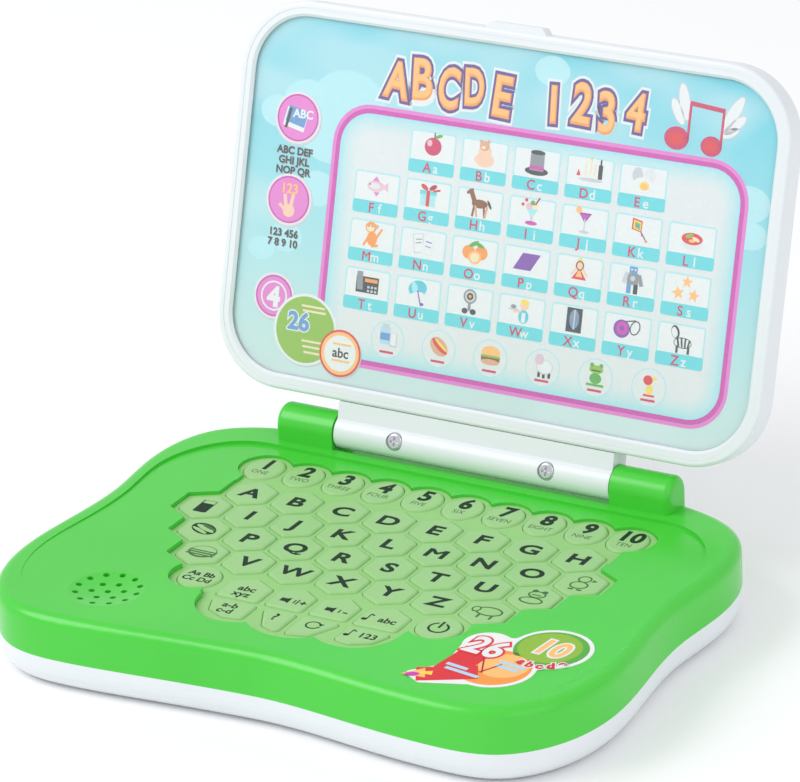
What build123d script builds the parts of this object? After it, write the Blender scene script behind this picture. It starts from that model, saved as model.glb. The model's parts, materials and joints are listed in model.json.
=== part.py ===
from build123d import *
import math
import os

# Toy laptop with a folding picture lid, a honeycomb rubber keypad and a small speaker.
# Millimetres, X across the front, +Y towards the hinge, +Z up. The origin is the middle of
# the flat underside of the base. The lid is drawn in its own plane (X across, Y from the
# hinge axis to the far edge, Z out of the picture) and then turned to its open position.

# Base
seam_height = 11.5
rim_height = 26.5
wall = 2.2
top_edge_radius = 4.0
bottom_edge_radius = 8.0
outline_samples = 72
ceiling_height = 23.8
floor_height = 2.6
stand_recess = 0.8
base_half_outline = [(0, -73.4), (38, -76.4), (66, -78.6), (88, -75.5), (102, -62.0), (108.9, -38.0),
                     (107.0, -10.0), (105.6, 14.0), (107.9, 40.0), (99.5, 68.0), (73.0, 80.2), (0, 81.5)]

# Shallow panel inside the rim, deepest at the hinge and fading out at the front
panel_back = 64.0
panel_front = -68.0
panel_drop = 1.1
panel_half_outline = [(0, -68.0), (40, -70.5), (70, -71.5), (92, -61.0), (101.8, -38.0), (100.0, -10.0),
                      (99.2, 14.0), (100.6, 38.0), (91.0, 57.5), (70, 64.0)]

# Keypad: hexagon keys on one pitch, measured from the row of the first letters
pitch = 17.5
first_row_y = 30.0
row_step = pitch * math.sqrt(3) / 2
key_top = 25.2
key_bottom = 21.9
key_travel = 1.0
key_spare = 0.05
key_shoulder = 1.1
hex_flats = 15.9
sheet_top = 24.5
flange_top = 23.7
sheet_bottom = 22.3
key_gap = 0.15
sheet_gap = 0.15
sheet_flange = 2.0
pill_radius = 2.5
number_pitch = 15.2
number_y = first_row_y + 18.4
number_radii = (6.9, 8.2)

# Circuit board and battery box
board_bottom = 19.4
board_thickness = 1.2
board_half_x = 87.0
board_low_y = -57.0
board_high_y = 64.0
cell_radius = 7.0
cell_length = 49.3
cell_nub = 1.2
cell_spacing = 14.8
cell_height = 10.2
box_half_x = 28.4
box_half_y = 22.6
box_roof = 17.5
box_wall = 1.4
contact_plate = 0.4
contact_tab_y = 14.0
door_margin = 3.0
door_thickness = 1.7
door_screw_x = box_half_x + door_margin + 5.0
sticker_thickness = 0.2

# Speaker
speaker_x = -65.0
speaker_y = first_row_y - 82.7
speaker_radius = 16.5

# Hinge
axis_y = 74.3
axis_z = 31.3
knuckle_radius = 6.5
knuckle_inner_x = 52.5
knuckle_outer_x = 74.5
barrel_radius = 6.0
barrel_half_x = 52.0
pin_radius = 2.0
pin_clearance = 0.05
pin_inner_x = 40.0
pin_outer_x = 66.0
slot_front_y = 68.4
slot_floor = 23.0

# Lid
lid_open_angle = 106.84
lid_lean = 180 - lid_open_angle
lid_near = 10.6
lid_far = 142.3
lid_width = 205.0
lid_corner = 25.0
lid_front = 4.5
lid_back = -7.4
lid_wall = 2.3
lid_skin = 2.0
window_face = 3.0
window_thickness = 0.5
card_thickness = 1.2
frame_inset = 5.2
barrel_front_flat = 4.0
barrel_back_flat = -5.4
hinge_screw_x = 28.7
hinge_screw_u = 0.6
hinge_screw_seat = 4.5

# Screws
screw_head_radius = 2.9
screw_core = 1.45
screw_pilot = 1.5
post_radius = 3.4
case_screws = [(-93.0, 52.0), (93.0, 52.0), (-96.0, -40.0), (96.0, -40.0),
                (-40.0, -64.5), (40.0, -64.5)]
board_posts = [(-84.0, 38.0), (84.0, 38.0), (-76.0, -24.0), (74.0, -50.0)]

letter_rows = [("ABCDEFGH", -3.5, 0), ("IJKLMNO", -3.0, 1), ("PQRSTU", -2.5, 2), ("VWXYZ", -2.0, 3)]
picture_cells = [(-4.0, 1), (4.0, 1), (-3.5, 2), (3.5, 2), (-3.0, 3), (3.0, 3)]


def base_face(inset):
    """Smooth outline of the base, moved inwards by an inset."""
    other = [(-x, y) for x, y in reversed(base_half_outline) if x > 0]
    curve = Spline(*base_half_outline, *other, periodic=True)
    if not inset:
        return make_face(curve)
    points = []
    for step in range(outline_samples):
        along = curve % (step / outline_samples)
        points.append(curve @ (step / outline_samples) + Vector(-along.Y, along.X) * inset)
    return make_face(Spline(*points, periodic=True))


def block(face, low, high):
    """Upright solid of a face between two heights."""
    return Pos(0, 0, low) * extrude(face, high - low)


def box_between(x0, x1, y0, y1, z0, z1):
    """Box given by its six sides."""
    middle = Pos((x0 + x1) / 2, (y0 + y1) / 2, (z0 + z1) / 2)
    return middle * Box(x1 - x0, y1 - y0, z1 - z0)


def rod(x, y, low, high, radius):
    """Upright cylinder between two heights."""
    return Pos(x, y, (low + high) / 2) * Cylinder(radius, high - low)


def rod_x(x0, x1, y, z, radius):
    """Cylinder along X."""
    return Pos((x0 + x1) / 2, y, z) * Rot(0, 90, 0) * Cylinder(radius, x1 - x0)


def polygon_at(points):
    """Flat face through corner points."""
    return make_face(Polyline(*points, close=True))


def row_y(row):
    """Height of a honeycomb row on the panel."""
    return first_row_y - row * row_step


def hexagon(cell_x, row, flats):
    """Honeycomb cell with a point towards the hinge."""
    return Pos(cell_x * pitch, row_y(row)) * RegularPolygon(flats / math.sqrt(3), 6, rotation=90)


def rounded(face, radius):
    """Face with all its corners rounded."""
    return fillet(face.vertices(), radius)


def key_cell(cell_x, row, grow):
    """Rounded hexagon of one key."""
    return rounded(hexagon(cell_x, row, hex_flats + 2 * grow), 2.0 + grow)


def oval(x, y, radius_x, radius_y, grow):
    """Upright ellipse round a centre."""
    return Pos(x, y) * Ellipse(radius_x + grow, radius_y + grow)


def letter_faces(grow):
    """Outline of each letter key, or of its hole when grown."""
    cells = {}
    for letters, first_x, row in letter_rows:
        for step, letter in enumerate(letters):
            cells["key_" + letter.lower()] = key_cell(first_x + step, row, grow)
    return cells


def number_place(digit):
    """Centre of a number key."""
    return (digit - 5.5) * number_pitch + 1.0, number_y


def number_faces(grow):
    """Outline of each number key."""
    return {f"key_{digit}": oval(*number_place(digit), *number_radii, grow) for digit in range(1, 11)}


def picture_faces(grow):
    """Outlines of the six picture keys at the ends of the rows."""
    return [key_cell(cell_x, row, grow) for cell_x, row in picture_cells]


def function_faces(grow):
    """Outlines of the nine function keys and of the power key."""
    p = pitch
    y = first_row_y
    upper = y - 3.98 * p
    lower = y - 4.08 * p
    peak = y - 3.12 * p
    shoulder = y - 3.38 * p
    word = polygon_at([(-1.9 * p, upper), (-0.98 * p, upper), (-0.98 * p, shoulder),
                       (-1.45 * p, peak), (-1.9 * p, shoulder)])
    loud = polygon_at([(-0.86 * p, upper), (-0.06 * p, upper), (-0.06 * p, shoulder),
                       (-0.45 * p, peak), (-0.86 * p, shoulder)])
    soft = polygon_at([(0.06 * p, upper), (0.86 * p, upper), (0.86 * p, shoulder),
                       (0.5 * p, peak), (0.06 * p, shoulder)])
    song = polygon_at([(0.98 * p, upper), (1.9 * p, upper), (1.9 * p, shoulder),
                       (1.45 * p, peak), (0.98 * p, shoulder)])
    spell = polygon_at([(-1.86 * p, lower), (-0.9 * p, lower), (-0.9 * p, y - 4.66 * p),
                        (-1.3 * p, y - 4.72 * p), (-1.68 * p, y - 4.54 * p)])
    quiz = polygon_at([(-0.78 * p, lower), (-0.06 * p, lower), (-0.06 * p, y - 4.86 * p),
                       (-0.46 * p, y - 4.72 * p)])
    repeat = polygon_at([(0.06 * p, lower), (0.88 * p, lower), (0.55 * p, y - 4.74 * p),
                         (0.06 * p, y - 4.86 * p)])
    number = polygon_at([(1.0 * p, lower), (1.92 * p, lower), (1.74 * p, y - 4.52 * p),
                         (1.36 * p, y - 4.72 * p), (1.0 * p, y - 4.66 * p)])
    letter = oval(-2.5 * p, y - 3.5 * p, 0.42 * p, 0.43 * p, grow)
    power = oval(2.52 * p, y - 3.5 * p, 0.44 * p, 0.43 * p, grow)
    shaped = [rounded(face, 1.6) for face in (word, loud, soft, song, spell, quiz, repeat, number)]
    if grow:
        shaped = [offset(face, grow) for face in shaped]
    return [letter, *shaped], power


def keypad_opening():
    """Outline of the hole in the panel: the honeycomb with scallops round the numbers."""
    p = pitch
    y = first_row_y
    face = polygon_at([(-4.06 * p, y), (4.12 * p, y), (4.12 * p, y + 1.1 * p), (-4.06 * p, y + 1.1 * p)])
    grown = 1.16 * p
    for letters, first_x, row in letter_rows:
        for step in range(len(letters)):
            face += hexagon(first_x + step, row, grown)
    for cell_x, row in picture_cells:
        face += hexagon(cell_x, row, grown)
    for digit in range(1, 11):
        x, centre = number_place(digit)
        face += Pos(x, centre + 0.7) * Circle(9.3)
    face += Pos(-2.5 * p, y - 3.5 * p) * Circle(0.58 * p)
    face += Pos(2.52 * p, y - 3.5 * p) * Circle(0.58 * p)
    face += polygon_at([(-2.4 * p, y - 2.9 * p), (2.4 * p, y - 2.9 * p), (2.1 * p, y - 4.14 * p),
                        (-2.1 * p, y - 4.14 * p)])
    face += Pos(-1.18 * p, y - 4.14 * p) * Circle(0.88 * p)
    face += Pos(1.24 * p, y - 4.14 * p) * Circle(0.88 * p)
    face += Pos(0.03 * p, y - 4.08 * p) * Circle(1.06 * p)
    return make_face(face.face().outer_wire())


def grille_places():
    """Centres of the speaker holes: one, six and twelve."""
    places = [(0.0, 0.0)]
    for count, radius, start in ((6, 5.3, 20), (12, 10.4, 5)):
        for step in range(count):
            angle = math.radians(start + 360 * step / count)
            places.append((radius * math.cos(angle), radius * math.sin(angle)))
    return [(speaker_x + x, speaker_y + y) for x, y in places]


def panel_plane():
    """Sloping plane of the panel's surface."""
    slope = panel_drop / (panel_back - panel_front)
    return Plane(origin=(0, panel_back, rim_height - panel_drop), x_dir=(1, 0, 0), z_dir=(0, slope, 1))


def knuckle(side):
    """Hinge knuckle standing on the back of the base, with a blind bore for its pin."""
    low = 14.0
    x0 = knuckle_inner_x
    x1 = knuckle_outer_x
    middle = (x0 + x1) / 2
    body = box_between(x0, x1, axis_y - knuckle_radius, axis_y + knuckle_radius, low, axis_z)
    body += rod_x(x0, x1, axis_y, axis_z, knuckle_radius)
    outer = body.faces().sort_by(Axis.X)[-1]
    body = fillet(outer.edges().filter_by(lambda edge: edge.center().Z > low + 1), 2.2)
    body -= rod_x(x0 - 1, pin_outer_x + 0.3, axis_y, axis_z, pin_radius + pin_clearance)
    return body if side > 0 else body.mirror(Plane.YZ)


def base_top_shell(opening):
    """Green upper casing with the rim, panel, hinge knuckles, grille and screw posts."""
    shell = block(base_face(0), seam_height, rim_height)
    shell = fillet(shell.faces().sort_by(Axis.Z)[-1].edges(), top_edge_radius)
    cavity = block(base_face(wall), seam_height - 1, ceiling_height)
    pocket_roof = slot_floor - 1.8
    cavity -= box_between(-barrel_half_x - 2, barrel_half_x + 2, slot_front_y - 1.8, 120,
                          pocket_roof, 40)
    shell -= cavity
    for x, y in case_screws:
        shell += rod(x, y, seam_height + 0.2, ceiling_height + 0.2, post_radius)
        shell -= rod(x, y, seam_height - 1, ceiling_height - 1, screw_pilot)
    for x, y in board_posts:
        shell += rod(x, y, board_bottom + board_thickness, ceiling_height + 0.2, 2.6)
    left_side = [(-x, y) for x, y in reversed(panel_half_outline) if x > 0]
    side_curve = Spline(*left_side, *panel_half_outline)
    panel = make_face(side_curve + Line(side_curve @ 1, side_curve @ 0))
    plane = panel_plane()
    above = plane * Pos(0, -75, 5) * Box(260, 260, 10)
    shell -= block(panel, 20, 40) & above
    shell -= block(opening, 20, 40)
    shell -= box_between(-barrel_half_x - 0.3, barrel_half_x + 0.3, slot_front_y, 120, slot_floor, 40)
    shell += knuckle(1)
    shell += knuckle(-1)
    dish_radius = 60.0
    dish_depth = 1.1
    dish_top = rim_height - 0.35
    shell -= Pos(speaker_x, speaker_y, dish_top - dish_depth + dish_radius) * Sphere(dish_radius)
    holes = Sketch() + [Pos(x, y) * Circle(1.05) for x, y in grille_places()]
    shell -= block(holes, 20, 40)
    return shell


def battery_box():
    """Upright box round the cells, open below, with its roof under the circuit board."""
    outer = box_between(-box_half_x - box_wall, box_half_x + box_wall, -box_half_y - box_wall,
                        box_half_y + box_wall, floor_height - 1, box_roof + 1.2)
    outer -= box_between(-box_half_x, box_half_x, -box_half_y, box_half_y, -1, box_roof)
    for y in (-contact_tab_y, contact_tab_y):
        outer -= box_between(box_half_x - 1, box_half_x + box_wall + 1, y - 1.4, y + 1.4, 13.8, 14.8)
    return outer


def base_bottom_shell():
    """White lower casing on a flat standing band, with the battery box and screw bosses."""
    shell = block(base_face(0), 0, seam_height)
    shell = fillet(shell.faces().sort_by(Axis.Z)[0].edges(), bottom_edge_radius)
    cavity = block(base_face(wall), floor_height, seam_height + 1)
    shell -= fillet(cavity.faces().sort_by(Axis.Z)[0].edges(), bottom_edge_radius - wall)
    shell -= block(rounded(Rectangle(164, 108), 14), -1, stand_recess)
    shell += battery_box()
    for x, y in case_screws:
        shell += rod(x, y, floor_height - 1.2, seam_height - 0.1, post_radius + 1.1)
        shell -= rod(x, y, -1, 6.0, screw_head_radius + 0.3)
        shell -= rod(x, y, 5.0, seam_height + 1, screw_pilot + 0.2)
    for x, y in board_posts:
        shell += rod(x, y, floor_height - 1, board_bottom, 2.6)
    shell += rod(door_screw_x, 0, floor_height - 0.5, 9.0, 5.9)
    shell -= battery_door_outline(0.0, -1, stand_recess + door_thickness)
    shell -= box_between(-box_half_x, box_half_x, -box_half_y, box_half_y, -1, floor_height + 1)
    shell -= rod(door_screw_x, 0, -1, 8.0, screw_pilot)
    return shell


def battery_door_outline(gap, low, high):
    """Rectangle over the cells with a round-ended tongue for the screw."""
    half_x = box_half_x + door_margin - gap
    half_y = box_half_y + door_margin - gap
    door = box_between(-half_x, half_x, -half_y, half_y, low, high)
    door += box_between(half_x - 1, door_screw_x, -5.0 + gap, 5.0 - gap, low, high)
    return door + rod(door_screw_x, 0, low, high, 5.0 - gap)


def battery_door():
    """Flat door under the cells, with gripping ribs and a sunk screw hole."""
    low = stand_recess
    high = stand_recess + door_thickness - 0.1
    door = battery_door_outline(0.25, low, high)
    for step in range(5):
        x = -box_half_x + 3 * step
        door -= box_between(x, x + 1.4, -9, 9, low - 1, low + 0.5)
    door -= rod(door_screw_x, 0, -1, low + 1.2, screw_head_radius + 0.2)
    return door - rod(door_screw_x, 0, -1, 5, screw_pilot + 0.2)


def screw(head_height, length):
    """Pan-head screw pointing up from its head, the cross recess facing down."""
    body = rod(0, 0, 0, head_height, screw_head_radius)
    body = fillet(body.faces().sort_by(Axis.Z)[0].edges(), 0.6 * head_height)
    body += rod(0, 0, head_height - 0.1, head_height + length, screw_core)
    for turn in (0, 90):
        body -= Rot(0, 0, turn) * box_between(-1.6, 1.6, -0.35, 0.35, -1, 0.6 * head_height)
    return body


def batteries():
    """Three cells lying across the base, every other one turned round."""
    cells = []
    for place in (-1, 0, 1):
        cell = rod(0, 0, 0, cell_length, cell_radius) + rod(0, 0, cell_length, cell_length + cell_nub, 2.75)
        side = 1 if place else -1
        start = Pos(side * (contact_plate - box_half_x + cell_length + cell_nub), place * cell_spacing, cell_height)
        cells.append(start * Rot(0, -90 * side, 0) * cell)
    return cells


def battery_contacts():
    """End plates with a coil spring for each negative end and tabs for the wires."""
    contacts = []
    spring_room = 2 * (box_half_x - contact_plate) - cell_length - cell_nub
    for side in (-1, 1):
        face = box_half_x - contact_plate
        plate = box_between(face, box_half_x, -box_half_y + 0.5, box_half_y - 0.5, 5.0, 15.0)
        if side > 0:
            for y in (-contact_tab_y, contact_tab_y):
                plate += box_between(face, box_half_x + box_wall + 3, y - 1.0, y + 1.0, 14.1, 14.6)
        contacts.append(plate if side > 0 else plate.mirror(Plane.YZ))
        for place in (-1, 0, 1):
            springs_here = (side > 0) == bool(place)
            if springs_here:
                coil = spring_coil(spring_room)
                start = Pos(side * face, place * cell_spacing, cell_height)
                contacts.append(start * Rot(0, -90 * side, 0) * coil)
    return contacts


def spring_coil(room):
    """Tapering spring drawn as a stepped hollow cone."""
    coil = Cone(4.6, 2.6, room - 0.1, align=(Align.CENTER, Align.CENTER, Align.MIN))
    return coil - Cone(3.9, 1.9, room - 0.1, align=(Align.CENTER, Align.CENTER, Align.MIN))


def circuit_board():
    """Board under the keypad, cut away round the speaker, with its chip blob underneath."""
    top = board_bottom + board_thickness
    board = box_between(-board_half_x, board_half_x, board_low_y, board_high_y, board_bottom, top)
    board -= rod(speaker_x, speaker_y, board_bottom - 1, top + 1, speaker_radius + 3)
    board -= box_between(-board_half_x - 1, speaker_x, board_low_y - 1, speaker_y + 12, board_bottom - 1, top + 1)
    blob = Pos(50, 40, board_bottom) * Sphere(6.0) & rod(50, 40, board_bottom - 2.0, board_bottom, 7)
    return board + blob


def speaker():
    """Pressed frame, paper cone and magnet of a small round speaker facing the grille."""
    place = Pos(speaker_x, speaker_y, 0)
    rim_low = ceiling_height - 1.4
    r = speaker_radius
    frame_profile = [(r, rim_low), (r, rim_low + 1.2), (r - 2, rim_low + 1.2), (r - 2, rim_low + 0.6),
                     (8, 17.6), (0, 17.6), (0, 17.0), (8.4, 17.0), (r - 1.6, rim_low)]
    cone_profile = [(r - 2.3, rim_low + 1.1), (r - 2.3, rim_low + 0.8), (7.4, 18.2), (0, 18.2), (0, 18.6),
                    (7.2, 18.6)]
    pieces = []
    for profile in (frame_profile, cone_profile):
        face = make_face(Plane.XZ * Polyline(*profile, close=True))
        pieces.append(place * revolve(face, Axis.Z))
    return pieces[0], pieces[1], place * rod(0, 0, 11.0, 17.0, 8.0)


def lead_wires():
    """Two leads from the speaker and two from the battery contacts to the board."""
    radius = 0.6
    loop = 12.0
    end = board_bottom
    ties = []
    for step in (0, 1):
        ties.append(((speaker_x + 13 + step, speaker_y + 10 - 3 * step, 21.2),
                     (speaker_x + 25, speaker_y + 18 - 4 * step, end)))
    for side in (-1, 1):
        ties.append(((box_half_x + box_wall + 2.2, side * contact_tab_y, 14.1), (48, side * contact_tab_y, end)))
    wires = []
    for (x0, y0, z0), (x1, y1, z1) in ties:
        low = min(z0, z1) - 5.0
        path = FilletPolyline((x0, y0, z0), (x0, y0, low), (x1, y1, low), (x1, y1, z1), radius=2.2)
        section = Plane(origin=(x0, y0, z0), z_dir=(0, 0, -1)) * Circle(radius)
        wires.append(sweep(section, path=path))
    return wires


def base_sticker():
    """Thin die-cut sticker at the right front corner: a disc, a ball and a tail."""
    p = pitch
    y = first_row_y
    face = Pos(4.82 * p, y - 3.55 * p) * Circle(0.76 * p)
    face += Pos(4.24 * p, y - 4.6 * p) * Circle(0.76 * p)
    face += Pos(3.7 * p, y - 3.84 * p) * Circle(0.46 * p)
    face += polygon_at([(3.28 * p, y - 4.0 * p), (4.4 * p, y - 3.8 * p), (4.7 * p, y - 5.15 * p),
                        (3.3 * p, y - 5.66 * p), (2.86 * p, y - 5.4 * p), (3.38 * p, y - 4.85 * p)])
    face = fillet(face.vertices(), 2.0)
    plane = panel_plane()
    tall = block(face, 20, 40)
    above = plane * Pos(0, -75, 5) * Box(260, 260, 10)
    lifted = plane * Pos(0, -75, 5 + sticker_thickness) * Box(260, 260, 10)
    return (tall & above) - lifted


def keypad_sheet(opening):
    """Rubber sheet raised in the opening, its flange under the panel, with a hole round each key."""
    sheet = block(offset(opening, sheet_flange), sheet_bottom, flange_top)
    sheet += block(offset(opening, -sheet_gap), flange_top - 0.1, sheet_top)
    functions, power = function_faces(key_gap)
    faces = [*letter_faces(key_gap).values(), *number_faces(key_gap).values(), *picture_faces(key_gap)]
    return sheet - [block(face, sheet_bottom - 1, sheet_top + 1) for face in (*faces, *functions, power)]


def key_solid(face):
    """Key pad with a soft top edge and the carbon pill that meets the board."""
    pad = block(face, key_bottom, key_top)
    pad = fillet(pad.faces().sort_by(Axis.Z)[-1].edges(), key_shoulder)
    middle = face.center()
    pill_end = board_bottom + board_thickness + key_travel + key_spare
    return pad + rod(middle.X, middle.Y, pill_end, key_bottom, pill_radius)


def lid_face(inset):
    """Rounded rectangle of the lid drawn in its own plane, shrunk by an inset."""
    height = lid_far - lid_near
    shape = RectangleRounded(lid_width - 2 * inset, height - 2 * inset, lid_corner - inset)
    return Pos(0, (lid_near + lid_far) / 2) * shape


def barrel_profile(low, high, trim, end):
    """Cross-section of the hinge barrel between two depths, extruded along X to both ends."""
    reach = 60.0
    round_part = Rot(0, 90, 0) * Cylinder(barrel_radius - trim, 2 * end)
    flat_part = box_between(-end, end, 0, lid_near + 1.0 - trim, barrel_back_flat + trim, barrel_front_flat - trim)
    return (round_part + flat_part) & box_between(-reach, reach, -reach, reach, low, high)


def pin_bore():
    """Room for the two pins in the ends of the barrel."""
    return rod_x(pin_inner_x - 1, 80, 0, 0, pin_radius) + rod_x(-80, 1 - pin_inner_x, 0, 0, pin_radius)


def lid_back_shell():
    """White tray of the lid with the back half of the hinge barrel and the finger tab."""
    shell = block(lid_face(0), lid_back, lid_front)
    shell = fillet(shell.faces().sort_by(Axis.Z)[0].edges(), 4.0)
    shell = fillet(shell.faces().sort_by(Axis.Z)[-1].edges(), 1.2)
    ledge_top = window_face - window_thickness - card_thickness
    shell -= block(lid_face(lid_wall), ledge_top, lid_front + 1)
    shell -= block(lid_face(lid_wall + 2.0), lid_back + lid_skin, ledge_top + 1)
    middle = (lid_near + lid_far) / 2
    for x in (-55, 0, 55):
        for y in (middle - 32, middle + 32):
            shell += rod(x, y, lid_back + lid_skin - 0.5, ledge_top, 2.6)
    tab = polygon_at([(-12.2, lid_far - 1.2), (-9.6, lid_far + 2.2), (9.6, lid_far + 2.2), (12.2, lid_far - 1.2)])
    shell += block(rounded(tab, 0.8), lid_front - 5.0, lid_front - 0.3)
    barrel = barrel_profile(-20, 0, 0, barrel_half_x)
    barrel -= barrel_profile(-20, 1, 1.9, barrel_half_x - 8) & box_between(-60, 60, -20, lid_near - 1, -20, 1)
    for x in (-hinge_screw_x, hinge_screw_x):
        barrel += rod(x, hinge_screw_u, -5.0, 0, 3.2)
        barrel -= rod(x, hinge_screw_u, -4.4, 1, screw_pilot)
    barrel -= pin_bore()
    return shell + barrel


def hinge_barrel_cover():
    """White front half of the hinge barrel, held on by two screws."""
    cover = barrel_profile(0.02, 20, 0, barrel_half_x)
    cover -= box_between(-60, 60, lid_near - 0.1, 40, -20, 20)
    hollow = barrel_profile(-1, 20, 1.9, barrel_half_x - 8)
    cover -= hollow & box_between(-60, 60, -20, lid_near - 2, -20, 20)
    for x in (-hinge_screw_x, hinge_screw_x):
        cover += rod(x, hinge_screw_u, 0.02, barrel_radius, 4.0) & barrel_profile(0.02, 20, 0, barrel_half_x)
        cover -= rod(x, hinge_screw_u, hinge_screw_seat, 9, screw_head_radius + 0.25)
        cover -= rod(x, hinge_screw_u, -1, 9, screw_pilot + 0.2)
    return cover - pin_bore()


def lid_front_frame():
    """White bevelled ring that holds the window and picture in the tray."""
    ring = block(lid_face(lid_wall + 0.02), window_face, lid_front - 0.15)
    ring -= block(lid_face(frame_inset), window_face - 1, lid_front + 1)
    inner = ring.faces().sort_by(Axis.Z)[-1].inner_wires()[0].edges()
    return chamfer(inner, 0.9)


def build_lid():
    """Pieces that fold with the lid, in the open position."""
    place = Pos(0, axis_y, axis_z) * Rot(lid_lean, 0, 0)
    window_low = window_face - window_thickness
    fit = lid_wall + 0.12
    hinge_screws = []
    for x in (-hinge_screw_x, hinge_screw_x):
        top = Pos(x, hinge_screw_u, hinge_screw_seat + 1.4)
        hinge_screws.append(place * top * Rot(180, 0, 0) * screw(1.4, 8.2))
    pins = [rod_x(pin_inner_x, pin_outer_x, axis_y, axis_z, pin_radius)]
    pins.append(rod_x(-pin_outer_x, -pin_inner_x, axis_y, axis_z, pin_radius))
    return {
        "lid_back_shell": place * lid_back_shell(),
        "lid_front_frame": place * lid_front_frame(),
        "picture_panel": place * block(lid_face(fit), window_low - card_thickness, window_low),
        "picture_window": place * block(lid_face(fit), window_low, window_face),
        "hinge_barrel_cover": place * hinge_barrel_cover(),
        "hinge_screws": Compound(hinge_screws),
        "hinge_pins": Compound(pins),
    }


def build_base():
    """Casing, keypad, keys, electronics and battery compartment."""
    opening = keypad_opening()
    functions, power = function_faces(0)
    frame, cone, magnet = speaker()
    single_keys = {**letter_faces(0), **number_faces(0), "key_power": power}
    pieces = {name: key_solid(face) for name, face in single_keys.items()}
    pieces["picture_keys"] = Compound([key_solid(face) for face in picture_faces(0)])
    pieces["function_keys"] = Compound([key_solid(face) for face in functions])
    pieces["keypad_sheet"] = keypad_sheet(opening)
    pieces["base_top_shell"] = base_top_shell(opening)
    pieces["base_bottom_shell"] = base_bottom_shell()
    pieces["battery_door"] = battery_door()
    pieces["battery_door_screw"] = Pos(door_screw_x, 0, stand_recess) * screw(1.1, 5.5)
    pieces["case_screws"] = Compound([Pos(x, y, 4.2) * screw(1.8, 12.0) for x, y in case_screws])
    pieces["batteries"] = Compound(batteries())
    pieces["battery_contacts"] = Compound(battery_contacts())
    pieces["circuit_board"] = circuit_board()
    pieces["speaker_frame"] = frame
    pieces["speaker_cone"] = cone
    pieces["speaker_magnet"] = magnet
    pieces["lead_wires"] = Compound(lead_wires())
    pieces["base_sticker"] = base_sticker()
    return pieces


os.makedirs("parts", exist_ok=True)
for name, piece in {**build_base(), **build_lid()}.items():
    export_step(piece, f"parts/{name}.step")
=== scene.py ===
import json
import math
import bpy
from mathutils import Matrix, Vector


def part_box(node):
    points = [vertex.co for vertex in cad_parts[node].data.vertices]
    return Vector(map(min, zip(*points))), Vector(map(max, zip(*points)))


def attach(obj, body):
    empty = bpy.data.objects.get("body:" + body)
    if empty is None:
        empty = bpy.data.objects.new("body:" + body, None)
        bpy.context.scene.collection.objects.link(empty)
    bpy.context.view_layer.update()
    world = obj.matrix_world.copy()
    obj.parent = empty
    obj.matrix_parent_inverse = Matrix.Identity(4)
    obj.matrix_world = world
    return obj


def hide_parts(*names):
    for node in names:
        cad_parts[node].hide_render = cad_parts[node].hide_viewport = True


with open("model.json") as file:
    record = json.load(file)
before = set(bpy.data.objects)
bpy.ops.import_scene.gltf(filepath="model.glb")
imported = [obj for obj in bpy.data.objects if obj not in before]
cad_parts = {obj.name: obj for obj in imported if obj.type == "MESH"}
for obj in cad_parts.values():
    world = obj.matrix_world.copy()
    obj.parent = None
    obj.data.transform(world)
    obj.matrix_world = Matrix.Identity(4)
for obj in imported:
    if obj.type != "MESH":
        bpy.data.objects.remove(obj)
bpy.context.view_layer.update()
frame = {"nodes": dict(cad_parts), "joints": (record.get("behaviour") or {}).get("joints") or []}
bpy.ops.object.select_all(action="DESELECT")
bpy.context.scene.view_settings.view_transform = "Standard"
nodes = frame["nodes"]
MM = 0.001


# Green upper casing of the base with its hinge knuckles: one injection moulding in bright
# green ABS, with a fine satin skin that is a little uneven in tone.
def moulded_plastic(name, colour, shade, roughness, grain):
    """Moulded plastic: a little uneven in tone, with a fine satin grain."""
    material = bpy.data.materials.new(name)
    material.use_nodes = True
    tree = material.node_tree
    shader = tree.nodes["Principled BSDF"]
    where = tree.nodes.new("ShaderNodeTexCoord")
    cloud = tree.nodes.new("ShaderNodeTexNoise")
    cloud.inputs["Scale"].default_value = 14.0
    cloud.inputs["Detail"].default_value = 3.0
    tint = tree.nodes.new("ShaderNodeValToRGB")
    tint.color_ramp.elements[0].position = 0.35
    tint.color_ramp.elements[0].color = (*shade, 1.0)
    tint.color_ramp.elements[1].position = 0.65
    tint.color_ramp.elements[1].color = (*colour, 1.0)
    skin = tree.nodes.new("ShaderNodeTexNoise")
    skin.inputs["Scale"].default_value = 1400.0
    skin.inputs["Detail"].default_value = 2.0
    gloss = tree.nodes.new("ShaderNodeMapRange")
    gloss.inputs["To Min"].default_value = roughness - 0.06
    gloss.inputs["To Max"].default_value = roughness + 0.06
    bump = tree.nodes.new("ShaderNodeBump")
    bump.inputs["Strength"].default_value = grain
    bump.inputs["Distance"].default_value = 0.00005
    link = tree.links.new
    link(where.outputs["Object"], cloud.inputs["Vector"])
    link(where.outputs["Object"], skin.inputs["Vector"])
    link(cloud.outputs["Fac"], tint.inputs["Fac"])
    link(tint.outputs["Color"], shader.inputs["Base Color"])
    link(cloud.outputs["Fac"], gloss.inputs["Value"])
    link(gloss.outputs["Result"], shader.inputs["Roughness"])
    link(skin.outputs["Fac"], bump.inputs["Height"])
    link(bump.outputs["Normal"], shader.inputs["Normal"])
    shader.inputs["IOR"].default_value = 1.5
    return material


def finish_node(name, material):
    """Gives a CAD node its finish."""
    node = nodes[name]
    node.data.materials.clear()
    node.data.materials.append(material)


green_shell = moulded_plastic("green_abs", (0.064, 0.61, 0.044), (0.056, 0.57, 0.038), 0.25, 0.12)
finish_node("base_top_shell", green_shell)

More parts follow.
